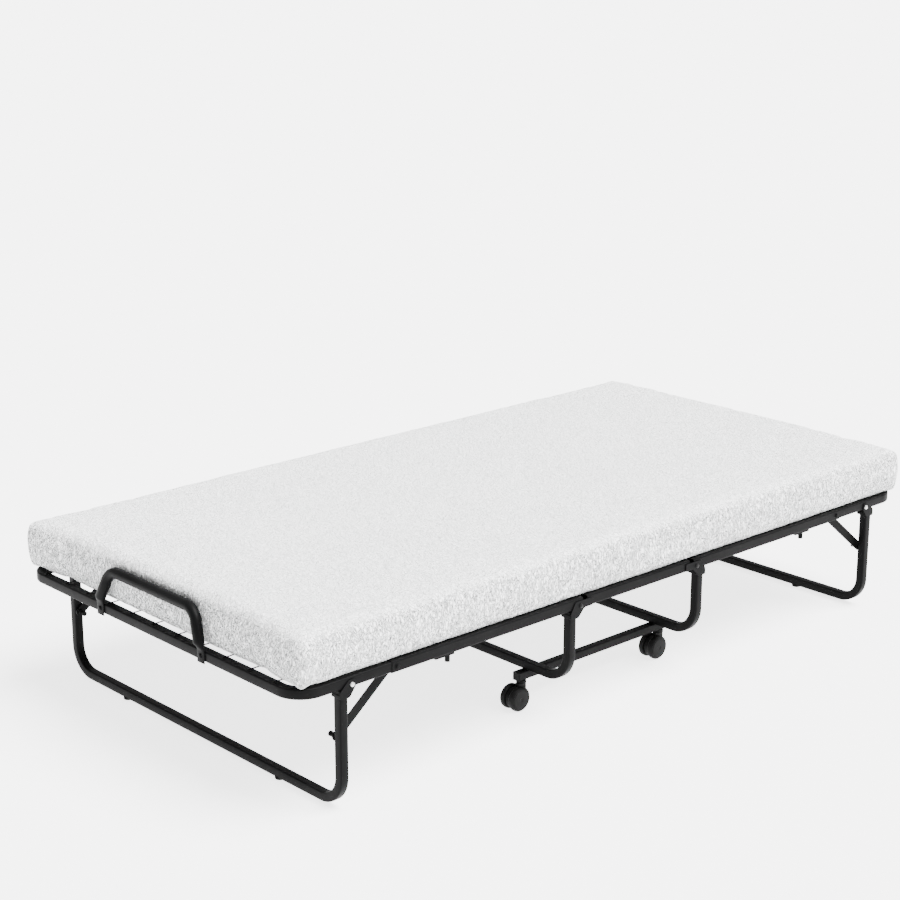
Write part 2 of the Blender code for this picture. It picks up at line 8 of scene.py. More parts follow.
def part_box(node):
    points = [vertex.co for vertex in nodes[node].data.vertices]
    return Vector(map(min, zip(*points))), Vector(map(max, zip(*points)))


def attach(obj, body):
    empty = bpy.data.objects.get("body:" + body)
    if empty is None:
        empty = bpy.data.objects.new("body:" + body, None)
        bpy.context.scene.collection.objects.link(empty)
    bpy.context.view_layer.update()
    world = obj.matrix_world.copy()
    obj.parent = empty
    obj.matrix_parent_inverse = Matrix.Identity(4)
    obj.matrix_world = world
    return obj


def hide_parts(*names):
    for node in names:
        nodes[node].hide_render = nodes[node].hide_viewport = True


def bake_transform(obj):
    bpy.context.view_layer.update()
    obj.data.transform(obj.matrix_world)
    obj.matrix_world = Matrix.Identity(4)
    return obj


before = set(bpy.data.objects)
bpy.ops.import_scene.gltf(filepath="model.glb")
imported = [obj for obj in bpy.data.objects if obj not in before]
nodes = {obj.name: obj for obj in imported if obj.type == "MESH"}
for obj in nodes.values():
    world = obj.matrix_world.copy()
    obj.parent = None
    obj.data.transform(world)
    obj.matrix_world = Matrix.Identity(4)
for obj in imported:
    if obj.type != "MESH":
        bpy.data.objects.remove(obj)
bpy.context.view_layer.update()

ENDS = {"foot": -1, "head": 1}
SIDES = {"right": -1, "left": 1}

# Places read from the frame
RAIL_LOW, RAIL_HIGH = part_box("side_rail_head_left")
END_LOW, END_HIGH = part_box("end_tube_head")
MATTRESS_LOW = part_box("mattress_panel_foot")[0]
MATTRESS_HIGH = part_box("mattress_panel_head")[1]
LOOP_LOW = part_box("mattress_loop_head")[0]
RAIL_Y = (RAIL_LOW[1] + RAIL_HIGH[1]) / 2
END_SIZE = END_HIGH[2] - END_LOW[2]
END_Z = (END_LOW[2] + END_HIGH[2]) / 2

# Sizes and places at the head end's left side; the foot end and the right side mirror them
TUBE_SIZE = 0.020
TUBE_CORNER_SHARE = 0.15
EAR_THICK = 0.002
END_BEND, LEG_BEND, MID_LEG_BEND, LOOP_BEND = 0.050, 0.057, 0.060, 0.040
LEG_X, LEG_TOP_Z, LEG_BAR_Z = 0.834, 0.2565, 0.015
MID_LEG_X, MID_LEG_TOP_Z, MID_LEG_BAR_Z = 0.205, 0.2545, 0.096
LOOP_TOP_Y, LOOP_FOOT_Y = 0.150, 0.180
LOOP_RADIUS = 0.0118
LOOP_TOP = (0.9425, 0.360)
LOOP_FOOT = (0.9545, 0.2885)
LOOP_FLATNESS = (0.14, 0.14, 0.14, 0.26, 0.62)
BRACE_LEG_POINT = (0.834, 0.154)
JOINT_BOLT_X = 0.700
JOINT_BOLT_ACROSS, JOINT_BOLT_THICK = 0.008, 0.0032
STEM_TRAIL = 0.019
CASTER_GAP_HALF = 0.0065

# Side outlines of the bracket ears, and the strap of each round its leg, as (x, z)
LEG_EAR = (
    (0.8460, 0.240), (0.8460, 0.256), (0.824, 0.2762), (0.808, 0.2762), (0.806, 0.262), (0.8220, 0.240),
)
LEG_STRAP = ((0.8225, 0.8455), (0.2405, 0.250))
LEG_EAR_SPACING = END_SIZE + 0.0014
FOLD_EAR = (
    (0.2165, 0.240), (0.2165, 0.254), (0.203, 0.277), (0.150, 0.277), (0.150, 0.2595),
    (0.176, 0.2595), (0.1935, 0.240),
)
FOLD_STRAP = ((0.1935, 0.2165), (0.240, 0.2505))
FOLD_EAR_SPACING = 0.026

# The mattress and its cover
TOP_EDGE, BOTTOM_EDGE, UPRIGHT_EDGE = 0.012, 0.0045, 0.009
COVER_CELL = 0.009
COVER_FRAMES = 16
COVER_MOST_SHIFT = 0.006
SIDE_BULGE, TOP_CROWN = 0.0060, 0.0058
BROAD_SLACK, FINE_SLACK, CRINKLE, CORNER_GATHER = 0.0013, 0.0008, 0.0006, 0.0022

# The floor, the light and the camera
FLOOR_HALF = 120
FLOOR_GLOW = 3.0
WORLD_STRENGTH = 1.1
KEY_ENERGY = 17
KEY_DIRECTION = (-0.24, 0.42, -0.88)
EYE_PLACE = (-3.0711, -3.2281, 1.7695)
EYE_AZIMUTH, EYE_DROP = math.radians(42.4438), math.radians(16.2829)
EYE_LENS = 79.87


# ---------------------------------------------------------------- materials

def shader_tools(name, colour, roughness, metallic=0.0):
    """A new Principled material, with short ways to add and join nodes."""
    material = bpy.data.materials.new(name)
    material.use_nodes = True
    tree = material.node_tree
    shader = tree.nodes["Principled BSDF"]
    shader.inputs["Base Color"].default_value = (*colour, 1)
    shader.inputs["Roughness"].default_value = roughness
    shader.inputs["Metallic"].default_value = metallic

    def add(kind, **values):
        node = tree.nodes.new(kind)
        for key, value in values.items():
            if key in node.inputs:
                node.inputs[key].default_value = value
            else:
                setattr(node, key, value)
        return node

    return material, tree, shader, add


def noise_at(tree, add, coords, scale, detail=3.0, roughness=0.5):
    made = add("ShaderNodeTexNoise", Scale=scale, Detail=detail, Roughness=roughness)
    tree.links.new(coords, made.inputs["Vector"])
    return made.outputs["Fac"]


def remap(tree, add, value, low, high):
    made = add("ShaderNodeMapRange")
    made.inputs["To Min"].default_value = low
    made.inputs["To Max"].default_value = high
    tree.links.new(value, made.inputs["Value"])
    return made.outputs["Result"]


def bump_on(tree, add, height, strength, distance, under=None):
    """A bump of this height field; the strength is a number or another node's output."""
    made = add("ShaderNodeBump", Distance=distance)
    tree.links.new(height, made.inputs["Height"])
    if isinstance(strength, float):
        made.inputs["Strength"].default_value = strength
    else:
        tree.links.new(strength, made.inputs["Strength"])
    if under:
        tree.links.new(under, made.inputs["Normal"])
    return made.outputs["Normal"]


def tinted(tree, add, factor, dark, light, low=0.35, high=0.65):
    """A colour that runs from dark to light over a stretch of the factor."""
    ramp = add("ShaderNodeValToRGB")
    ramp.color_ramp.elements[0].position = low
    ramp.color_ramp.elements[1].position = high
    ramp.color_ramp.elements[0].color = (*dark, 1)
    ramp.color_ramp.elements[1].color = (*light, 1)
    tree.links.new(factor, ramp.inputs["Fac"])
    return ramp.outputs["Color"]


def powder_coat(name):
    """Satin black powder coat: a fine orange peel, uneven gloss and faint handling marks."""
    material, tree, shader, add = shader_tools(name, (0.0026, 0.0026, 0.0027), 0.46)
    coords = add("ShaderNodeTexCoord").outputs["Object"]
    cloudy = noise_at(tree, add, coords, 9.0, 4.0)
    peel = noise_at(tree, add, coords, 620.0, 2.0)
    rubbed = noise_at(tree, add, coords, 55.0, 6.0, 0.65)
    colour = tinted(tree, add, cloudy, (0.0018, 0.0018, 0.0019), (0.0034, 0.0034, 0.0035))
    tree.links.new(colour, shader.inputs["Base Color"])
    tree.links.new(remap(tree, add, rubbed, 0.36, 0.56), shader.inputs["Roughness"])
    tree.links.new(bump_on(tree, add, peel, 0.22, 0.0004), shader.inputs["Normal"])
    shader.inputs["Specular IOR Level"].default_value = 0.035
    return material


def zinc_plate(name):
    """Bright zinc plate with a fine crystalline mottle."""
    material, tree, shader, add = shader_tools(name, (0.62, 0.62, 0.60), 0.34, 1.0)
    coords = add("ShaderNodeTexCoord").outputs["Object"]
    spangle = noise_at(tree, add, coords, 380.0, 3.0)
    colour = tinted(tree, add, spangle, (0.50, 0.50, 0.49), (0.70, 0.70, 0.68))
    tree.links.new(colour, shader.inputs["Base Color"])
    tree.links.new(remap(tree, add, spangle, 0.25, 0.46), shader.inputs["Roughness"])
    tree.links.new(bump_on(tree, add, spangle, 0.15, 0.0003), shader.inputs["Normal"])
    return material


def moulded_plastic(name, shade, roughness):
    """Moulded nylon: a fine spark-eroded grain and soft scuffs."""
    material, tree, shader, add = shader_tools(name, (shade, shade, shade * 1.03), roughness)
    coords = add("ShaderNodeTexCoord").outputs["Object"]
    grain = noise_at(tree, add, coords, 1400.0, 2.0)
    scuff = noise_at(tree, add, coords, 70.0, 6.0, 0.7)
    colour = tinted(tree, add, scuff, (shade * 0.85,) * 3, (shade * 1.35,) * 3)
    tree.links.new(colour, shader.inputs["Base Color"])
    tree.links.new(remap(tree, add, scuff, roughness - 0.08, roughness + 0.12), shader.inputs["Roughness"])
    tree.links.new(bump_on(tree, add, grain, 0.3, 0.0003), shader.inputs["Normal"])
    shader.inputs["Specular IOR Level"].default_value = 0.06
    return material


def crinkle_knit(name):
    """White crinkled stretch knit: worm-like folds, drawn out and deeper on the sides, with painted shade in
    the fold valleys that is stronger on the sides than on the top.
    """
    material, tree, shader, add = shader_tools(name, (0.86, 0.86, 0.86), 0.92)
    rest = add("ShaderNodeAttribute", attribute_name="rest_place").outputs["Vector"]
    stretch = add("ShaderNodeMapping")
    stretch.inputs["Scale"].default_value = (1.0, 1.0, 0.42)
    tree.links.new(rest, stretch.inputs["Vector"])
    along = stretch.outputs["Vector"]
    drift = add("ShaderNodeTexNoise", Scale=95.0, Detail=2.0)
    tree.links.new(along, drift.inputs["Vector"])
    warp = add("ShaderNodeVectorMath", operation="SCALE")
    warp.inputs["Scale"].default_value = 0.014
    tree.links.new(drift.outputs["Color"], warp.inputs[0])
    warped = add("ShaderNodeVectorMath", operation="ADD")
    tree.links.new(along, warped.inputs[0])
    tree.links.new(warp.outputs["Vector"], warped.inputs[1])
    place = warped.outputs["Vector"]
    cells = add("ShaderNodeTexVoronoi", feature="SMOOTH_F1", Scale=200.0, Smoothness=0.35)
    tree.links.new(place, cells.inputs["Vector"])
    folds = noise_at(tree, add, place, 180.0, 2.0, 0.55)
    off_centre = add("ShaderNodeMath", operation="SUBTRACT")
    off_centre.inputs[1].default_value = 0.5
    tree.links.new(folds, off_centre.inputs[0])
    ridge = add("ShaderNodeMath", operation="ABSOLUTE")
    tree.links.new(off_centre.outputs["Value"], ridge.inputs[0])
    valley = remap(tree, add, ridge.outputs["Value"], 0.0, 1.0)
    valley.node.inputs["From Max"].default_value = 0.060
    coarse = noise_at(tree, add, place, 120.0, 2.0, 0.5)
    loops = noise_at(tree, add, rest, 1100.0, 2.0)
    soft = noise_at(tree, add, rest, 6.0, 3.0)
    split = add("ShaderNodeSeparateXYZ")
    tree.links.new(rest, split.inputs["Vector"])
    # Fold depth: full on the sides and less on the top; it sets the bumps' strength and how much painted
    # crease shade goes into the valleys
    deep = remap(tree, add, split.outputs["Z"], 1.0, 0.58)
    deep.node.inputs["From Min"].default_value = MATTRESS_HIGH[2] - 0.016
    deep.node.inputs["From Max"].default_value = MATTRESS_HIGH[2] - 0.002
    low = bump_on(tree, add, coarse, deep, 0.0125)
    mid = bump_on(tree, add, cells.outputs["Distance"], deep, 0.0095, low)
    high = bump_on(tree, add, valley, deep, 0.0070, mid)
    tree.links.new(bump_on(tree, add, loops, 0.25, 0.0006, high), shader.inputs["Normal"])
    # Painted shade: the fold valleys take a darker tone, by the fold depth mask, so creases look shaded
    light, crease_shade_tone = (0.97, 0.97, 0.97), (0.66, 0.68, 0.68)
    painted_crease_shade = add("ShaderNodeMix", data_type="RGBA")
    tree.links.new(deep, painted_crease_shade.inputs["Factor"])
    painted_crease_shade.inputs["A"].default_value = (*light, 1)
    tree.links.new(tinted(tree, add, valley, crease_shade_tone, light, 0.0, 0.85), painted_crease_shade.inputs["B"])
    spots = tinted(tree, add, cells.outputs["Distance"], (1.0, 1.0, 1.0), (0.95, 0.955, 0.955), 0.20, 0.75)
    tone = tinted(tree, add, soft, (0.985, 0.987, 0.987), (1.0, 1.0, 1.0))
    mixed = painted_crease_shade.outputs["Result"]
    for layer in (spots, tone):
        mix = add("ShaderNodeMix", data_type="RGBA", blend_type="MULTIPLY")
        mix.inputs["Factor"].default_value = 1.0
        tree.links.new(mixed, mix.inputs["A"])
        tree.links.new(layer, mix.inputs["B"])
        mixed = mix.outputs["Result"]
    tree.links.new(mixed, shader.inputs["Base Color"])
    tree.links.new(remap(tree, add, folds, 0.84, 1.0), shader.inputs["Roughness"])
    shader.inputs["Sheen Weight"].default_value = 0.2
    shader.inputs["Sheen Roughness"].default_value = 0.5
    shader.inputs["Specular IOR Level"].default_value = 0.2
    return material


def black_oxide(name):
    """Blackened steel with an oily, slightly uneven sheen."""
    material, tree, shader, add = shader_tools(name, (0.014, 0.014, 0.015), 0.38)
    coords = add("ShaderNodeTexCoord").outputs["Object"]
    mottle = noise_at(tree, add, coords, 420.0, 3.0)
    tree.links.new(tinted(tree, add, mottle, (0.003,) * 3, (0.006,) * 3), shader.inputs["Base Color"])
    tree.links.new(remap(tree, add, mottle, 0.28, 0.48), shader.inputs["Roughness"])
    tree.links.new(bump_on(tree, add, mottle, 0.12, 0.0003), shader.inputs["Normal"])
    shader.inputs["Specular IOR Level"].default_value = 0.12
    return material


COAT = powder_coat("satin_black_coat")
ZINC = zinc_plate("zinc_plate")
BOLT_BLACK = black_oxide("black_oxide")
HOUSING_PLASTIC = moulded_plastic("black_nylon", 0.0028, 0.50)
WHEEL_PLASTIC = moulded_plastic("black_wheel_nylon", 0.003, 0.46)
KNIT = crinkle_knit("white_crinkle_knit")


# ------------------------------------------------------------- mesh helpers

def finished(name, mesh, material, body, smooth_angle=35):
    """A shown piece from a bmesh in the row frame, which rides on a body."""
    bmesh.ops.recalc_face_normals(mesh, faces=mesh.faces)
    data = bpy.data.meshes.new(name)
    mesh.to_mesh(data)
    mesh.free()
    data.materials.append(material)
    data.shade_smooth()
    data.set_sharp_from_angle(angle=math.radians(smooth_angle))
    made = bpy.data.objects.new(name, data)
    bpy.context.collection.objects.link(made)
    if body:
        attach(made, body)
    return made


def soften(piece, width, segments=2):
    """A small rounded edge on a pressed or moulded piece."""
    bevel = piece.modifiers.new("edges", "BEVEL")
    bevel.width = width
    bevel.segments = segments
    bevel.limit_method = "ANGLE"
    bevel.angle_limit = math.radians(40)
    bevel.harden_normals = True
    return piece


def add_box(mesh, low, high):
    made = bmesh.ops.create_cube(mesh, size=1)
    size = Vector([abs(a - b) for a, b in zip(low, high)])
    bmesh.ops.scale(mesh, verts=made["verts"], vec=size)
    bmesh.ops.translate(mesh, verts=made["verts"], vec=(Vector(low) + Vector(high)) / 2)
    return mesh


def add_lathe(mesh, centre, axis, profile, sides=32):
    """A turned form about an axis, from (distance along it, radius) pairs that start and end at 0 radius."""
    verts = [mesh.verts.new((radius, 0, along)) for along, radius in profile]
    edges = [mesh.edges.new(pair) for pair in zip(verts, verts[1:])]
    bmesh.ops.spin(
        mesh, geom=verts + edges, cent=(0, 0, 0), axis=(0, 0, 1), angle=2 * math.pi,
        steps=sides, use_merge=True,
    )
    made = set(verts)
    for edge in {e for v in verts for e in v.link_edges}:
        made.update(edge.verts)
    grow = list(made)
    while grow:
        for edge in grow.pop().link_edges:
            for vert in edge.verts:
                if vert not in made:
                    made.add(vert)
                    grow.append(vert)
    turn = Vector(axis).to_track_quat("Z", "Y").to_matrix()
    for vert in made:
        vert.co = turn @ vert.co + Vector(centre)
    bmesh.ops.remove_doubles(mesh, verts=list(made), dist=1e-6)
    return mesh


def rounded_square(size, radius, steps=4):
    points = []
    inset = size / 2 - radius
    for quarter in range(4):
        middle = math.radians(45 + 90 * quarter)
        centre = Vector((math.copysign(inset, math.cos(middle)), math.copysign(inset, math.sin(middle))))
        for step in range(steps + 1):
            angle = math.radians(90 * quarter + 90 * step / steps)
            points.append(centre + radius * Vector((math.cos(angle), math.sin(angle))))
    return points


def rounded_path(corners, radius, steps=14):
    """Points and directions along a polyline whose inner corners are arcs."""
    corners = [Vector(corner) for corner in corners]
    stations = [(corners[0], (corners[1] - corners[0]).normalized())]
    for before, corner, after in zip(corners, corners[1:], corners[2:]):
        into = (corner - before).normalized()
        out = (after - corner).normalized()
        turn = into.angle(out)
        axis = into.cross(out).normalized()
        start = corner - into * radius * math.tan(turn / 2)
        centre = start + axis.cross(into) * radius
        for step in range(steps + 1):
            spin = Matrix.Rotation(turn * step / steps, 3, axis)
            stations.append((centre + spin @ (start - centre), spin @ into))
    stations.append((corners[-1], (corners[-1] - corners[-2]).normalized()))
    return stations


def sweep(stations, normal, profile_at):
    """A closed bar along a flat path; profile_at(i) gives the section at a station."""
    mesh = bmesh.new()
    normal = Vector(normal)
    rings = []
    for i, (point, direction) in enumerate(stations):
        side = direction.cross(normal)
        rings.append([mesh.verts.new(point + normal * p.x + side * p.y) for p in profile_at(i)])
    count = len(rings[0])
    for ring, following in zip(rings, rings[1:]):
        for i in range(count):
            j = (i + 1) % count
            mesh.faces.new((ring[i], ring[j], following[j], following[i]))
    mesh.faces.new(rings[0])
    mesh.faces.new(rings[-1])
    return mesh


def square_bar(stations, normal, size):
    profile = rounded_square(size, size * TUBE_CORNER_SHARE)
    return sweep(stations, normal, lambda i: profile)


# ------------------------------------------------------------------- steel

def dress(node, material):
    """A CAD node that stays on show takes a detailed material."""
    node.data.materials.clear()
    node.data.materials.append(material)


def coat_cad_steel():
    """The straight tubes, bars, wires and braces keep their CAD shapes and take the coat."""
    coated = ("side_rail", "mid_rail", "mid_cross", "cross_bar", "caster_bar", "wire_deck", "brace")
    for name, node in nodes.items():
        if name.startswith(coated):
            dress(node, COAT)


def make_end_tube(end_name, end):
    x_in, x_out = END_LOW[0], END_HIGH[0] - END_SIZE / 2
    corners = (
        (end * x_in, RAIL_Y, END_Z), (end * x_out, RAIL_Y, END_Z),
        (end * x_out, -RAIL_Y, END_Z), (end * x_in, -RAIL_Y, END_Z),
    )
    mesh = square_bar(rounded_path(corners, END_BEND), (0, 0, 1), END_SIZE)
    tube = finished(f"end_tube_{end_name}_fine", mesh, COAT, f"{end_name}_frame")
    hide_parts(f"end_tube_{end_name}")


def bracket(name, end, side, outline, strap, between, body):
    """A pressed bracket: two ears on the sides of the rail and a strap round the leg."""
    for place, face, away in (("inner", RAIL_Y - between / 2, -1), ("outer", RAIL_Y + between / 2, 1)):
        mesh = bmesh.new()
        back = face + away * EAR_THICK
        face_verts = [mesh.verts.new((end * x, side * face, z)) for x, z in outline]
        pushed = bmesh.ops.extrude_face_region(mesh, geom=[mesh.faces.new(face_verts)])
        moved = [item for item in pushed["geom"] if isinstance(item, bmesh.types.BMVert)]
        bmesh.ops.translate(mesh, verts=moved, vec=(0, side * (back - face), 0))
        corners = [e for e in mesh.edges if abs(e.verts[0].co.y - e.verts[1].co.y) > EAR_THICK / 2]
        bmesh.ops.bevel(mesh, geom=corners, offset=0.004, segments=4, affect="EDGES", profile=0.5)
        soften(finished(f"{name}_{place}_ear", mesh, COAT, body), 0.0005)
    (x_in, x_out), (z_low, z_high) = strap
    strap_half = between / 2 + EAR_THICK - 0.0002
    low = (end * x_in, side * (RAIL_Y - strap_half), z_low)
    high = (end * x_out, side * (RAIL_Y + strap_half), z_high)
    band = add_box(bmesh.new(), low, high)
    soften(finished(f"{name}_strap", band, COAT, body), 0.0025, 4)


def make_leg(name, end, x, top_z, bar_z, bend, outline, strap, between, body):
    """A U-shaped leg with a pressed bracket at the top of each upright."""
    corners = (
        (end * x, RAIL_Y, top_z), (end * x, RAIL_Y, bar_z),
        (end * x, -RAIL_Y, bar_z), (end * x, -RAIL_Y, top_z),
    )
    mesh = square_bar(rounded_path(corners, bend), (1, 0, 0), TUBE_SIZE)
    leg = finished(f"{name}_fine", mesh, COAT, body)
    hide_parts(name)
    for side_name, side in SIDES.items():
        bracket(f"{name}_bracket_{side_name}", end, side, outline, strap, between, body)


def make_legs():
    for end_name, end in ENDS.items():
        make_leg(
            f"end_leg_{end_name}", end, LEG_X, LEG_TOP_Z, LEG_BAR_Z, LEG_BEND,
            LEG_EAR, LEG_STRAP, LEG_EAR_SPACING, f"{end_name}_leg",
        )
        make_leg(
            f"mid_leg_{end_name}", end, MID_LEG_X, MID_LEG_TOP_Z, MID_LEG_BAR_Z, MID_LEG_BEND,
            FOLD_EAR, FOLD_STRAP, FOLD_EAR_SPACING, "base",
        )


def make_mattress_loop(end_name, end):
    """The bent round tube that leans on the mattress, with feet pressed flat and riveted to the end bar."""
    foot_x = END_HIGH[0] + 0.0018
    top_x, top_z = LOOP_TOP
    climb = top_z - LOOP_FOOT[1]
    rise = Vector((end * (top_x - LOOP_FOOT[0]), 0, climb)).normalized()
    slope_y = (LOOP_FOOT_Y - LOOP_TOP_Y) / climb
    slope_x = (LOOP_FOOT[0] - top_x) / climb
    neck_z = END_HIGH[2] + 0.016
    neck_x = end * (top_x + slope_x * (top_z - neck_z))
    neck_y = LOOP_TOP_Y + slope_y * (top_z - neck_z)
    corners = [(neck_x, neck_y, neck_z), (end * top_x, LOOP_TOP_Y, top_z)]
    corners += [(px, -py, pz) for px, py, pz in reversed(corners)]
    stations = rounded_path(corners, LOOP_BEND)
    foot_y = LOOP_FOOT_Y

    def foot(sign):
        """Stations from the flat foot's lower end up into the round tube."""
        places = (
            (LOOP_LOW[2], foot_x, foot_y),
            (END_LOW[2] + 0.006, foot_x, foot_y),
            (END_HIGH[2] - 0.003, foot_x, foot_y),
            (END_HIGH[2] + 0.003, foot_x + 0.0004, foot_y),
            (END_HIGH[2] + 0.009, foot_x + 0.0012, foot_y - 0.0015),
        )
        return [(Vector((end * x, sign * y, z)), Vector((0, 0, 1))) for z, x, y in places]

    down = [(point, -direction) for point, direction in reversed(foot(-1))]
    stations = foot(1) + stations + down
    last = len(stations) - 1

    def profile_at(i):
        """An ellipse that goes from flat at the feet to round, and gets wider as it is pressed."""
        from_end = min(i, last - i)
        flat = LOOP_FLATNESS[from_end] if from_end < len(LOOP_FLATNESS) else 1.0
        deep, wide = LOOP_RADIUS * flat, LOOP_RADIUS * (1.0 + 0.10 * (1.0 - flat))
        angles = [2 * math.pi * k / 24 for k in range(24)]
        return [Vector((deep * math.cos(angle), wide * math.sin(angle))) for angle in angles]

    body = f"{end_name}_frame"
    mesh = sweep(stations, Vector((0, 1, 0)).cross(rise), profile_at)
    loop = finished(f"mattress_loop_{end_name}_fine", mesh, COAT, body, 60)
    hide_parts(f"mattress_loop_{end_name}")
    for side_name, side in SIDES.items():
        centre = (end * (foot_x + 0.0014), side * foot_y, END_Z)
        dome = [(0, 0), (0, 0.0052), (0.0010, 0.0050), (0.0020, 0.0040), (0.0027, 0.0022), (0.0029, 0)]
        mesh = add_lathe(bmesh.new(), centre, (end, 0, 0), dome, 20)
        finished(f"loop_rivet_{end_name}_{side_name}", mesh, COAT, body, 50)


def hex_head(name, centre, axis, across, thick, material, body):
    """A hexagon bolt head with a washer under it and a chamfered top."""
    mesh = bmesh.new()
    washer = [(0, 0), (0, across * 0.82), (0.0009, across * 0.82), (0.0009, 0)]
    add_lathe(mesh, centre, axis, washer, 28)
    corner = across * 0.577
    head = [(0.0010, 0), (0.0010, corner), (thick * 0.8, corner), (thick, across * 0.47), (thick, 0)]
    add_lathe(mesh, centre, axis, head, 6)
    return soften(finished(name, mesh, material, body, 30), 0.0002)


def make_joint_bolt(tag, end_name, end, side):
    """The bolt that holds the side rail on the end tube."""
    outer = side * (RAIL_Y + (RAIL_HIGH[1] - RAIL_LOW[1]) / 2)
    hex_head(
        f"joint_bolt_{tag}", (end * JOINT_BOLT_X, outer, END_Z), (0, side, 0),
        JOINT_BOLT_ACROSS, JOINT_BOLT_THICK, COAT, f"{end_name}_frame",
    )


def make_brace_pin(tag, end, side):
    """The stepped pin of the brace on the leg."""
    low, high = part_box(f"brace_{tag}")
    inner = low[1] if side > 0 else high[1]
    pin = [
        (0, 0), (0, 0.0065), (0.0040, 0.0065), (0.0050, 0.0034),
        (0.0110, 0.0034), (0.0116, 0.0056), (0.0150, 0.0056), (0.0156, 0),
    ]
    centre = (end * BRACE_LEG_POINT[0], inner, BRACE_LEG_POINT[1])
    mesh = add_lathe(bmesh.new(), centre, (0, -side, 0), pin, 20)
    finished(f"brace_pin_{tag}", mesh, COAT, f"brace_{tag}", 30)


def make_bar_plug(tag, end, side_name):
    """The moulded plug in the open end of a caster bar: a neck inside the tube and a thin cap."""
    bar_low, bar_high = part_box(f"caster_bar_{side_name}")
    centre_z = (bar_low[2] + bar_high[2]) / 2
    centre_y = (bar_low[1] + bar_high[1]) / 2
    neck_half, cap_half = TUBE_SIZE / 2 - 0.0014, TUBE_SIZE / 2 - 0.0004
    root, seat, face = bar_high[0] - 0.006, bar_high[0] + 0.0002, bar_high[0] + 0.0022
    mesh = bmesh.new()
    for inside, outside, half in ((root, seat, neck_half), (seat, face, cap_half)):
        low = (end * inside, centre_y - half, centre_z - half)
        high = (end * outside, centre_y + half, centre_z + half)
        add_box(mesh, low, high)
    soften(finished(f"bar_plug_{tag}", mesh, HOUSING_PLASTIC, "base"), 0.0009, 3)


def make_fasteners():
    for end_name, end in ENDS.items():
        for side_name, side in SIDES.items():
            tag = f"{end_name}_{side_name}"
            make_joint_bolt(tag, end_name, end, side)
            dress(nodes[f"fold_bolt_{tag}"], BOLT_BLACK)
            dress(nodes[f"leg_bolt_{tag}"], ZINC)
            make_brace_pin(tag, end, side)
            make_bar_plug(tag, end, side_name)


# ----------------------------------------------------------------- casters

def make_wheel_pair(tag, centre, radius, half):
    """Two wheels with plain domed covers, on one axle."""
    gap = CASTER_GAP_HALF
    wheels = bmesh.new()
    for sign in (-1, 1):
        profile = [
            (gap, 0), (gap, radius - 0.0040), (gap + 0.0007, radius - 0.0016),
            (gap + 0.0022, radius - 0.0003), (gap + 0.0040, radius), (half - 0.0065, radius),
            (half - 0.0042, radius - 0.0005), (half - 0.0022, radius - 0.0022),
            (half - 0.0012, radius - 0.0042), (half - 0.0016, radius - 0.0052),
            (half - 0.0005, radius - 0.0062), (half, radius - 0.0100),
            (half, 0.0050), (half - 0.0006, 0.0042), (half - 0.0006, 0),
        ]
        add_lathe(wheels, centre, (0, sign, 0), profile, 56)
    axle = [(-gap, 0), (-gap, 0.003), (gap, 0.003), (gap, 0)]
    add_lathe(wheels, centre, (0, 1, 0), axle, 20)
    pair = finished(f"wheels_{tag}_fine", wheels, WHEEL_PLASTIC, f"wheels_{tag}", 30)
    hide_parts(f"caster_wheels_{tag}")


def make_caster(tag):
    """A twin-wheel caster: the wheels, the web between them, an arm, a neck and a steel stem."""
    low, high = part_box(f"caster_wheels_{tag}")
    centre = Vector([(a + b) / 2 for a, b in zip(low, high)])
    radius = (high[2] - low[2]) / 2
    make_wheel_pair(tag, centre, radius, (high[1] - low[1]) / 2)
    stem_x = centre.x + STEM_TRAIL
    neck_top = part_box(f"caster_housing_{tag}")[1][2] - 0.0156
    body = f"caster_{tag}"
    rim, edge = radius - 0.0045, radius - 0.0052
    web = [(-0.005, 0), (-0.005, edge), (-0.0042, rim), (0.0042, rim), (0.005, edge), (0.005, 0)]
    mesh = add_lathe(bmesh.new(), centre, (0, 1, 0), web, 48)
    disc = finished(f"caster_web_{tag}", mesh, HOUSING_PLASTIC, body, 30)
    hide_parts(f"caster_housing_{tag}")
    arm_low = (stem_x - 0.015, centre.y - 0.005, 0.032)
    arm_high = (stem_x + 0.0115, centre.y + 0.005, 0.059)
    arm = add_box(bmesh.new(), arm_low, arm_high)
    soften(finished(f"caster_arm_{tag}", arm, HOUSING_PLASTIC, body), 0.002, 3)
    foot = (stem_x, centre.y, 0)
    collar = [
        (0.0565, 0), (0.0565, 0.0098), (0.0580, 0.0113),
        (neck_top - 0.0015, 0.0113), (neck_top, 0.0100), (neck_top, 0),
    ]
    neck = add_lathe(bmesh.new(), foot, (0, 0, 1), collar, 36)
    finished(f"caster_neck_{tag}", neck, HOUSING_PLASTIC, body, 30)
    stem_low, stem_high = neck_top - 0.001, neck_top + 0.015
    post = [(stem_low, 0), (stem_low, 0.004), (neck_top + 0.014, 0.004), (stem_high, 0)]
    stem = add_lathe(bmesh.new(), foot, (0, 0, 1), post, 20)
    finished(f"caster_stem_{tag}", stem, ZINC, body, 30)


def make_glide(tag):
    """A low moulded glide under the leg's bar, with a rounded rim."""
    low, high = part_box(f"glide_{tag}")
    centre = ((low[0] + high[0]) / 2, (low[1] + high[1]) / 2, 0)
    radius, top = (high[0] - low[0]) / 2, high[2]
    rim = [(0, radius - 0.0016), (0.0006, radius - 0.0004), (0.0016, radius), (top, radius)]
    profile = [(0, 0), *rim, (top, 0)]
    body = f"{tag.split('_')[0]}_leg"
    mesh = add_lathe(bmesh.new(), centre, (0, 0, 1), profile, 36)
    glide = finished(f"glide_{tag}_fine", mesh, HOUSING_PLASTIC, body, 30)
    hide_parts(f"glide_{tag}")


# ---------------------------------------------------------------- mattress

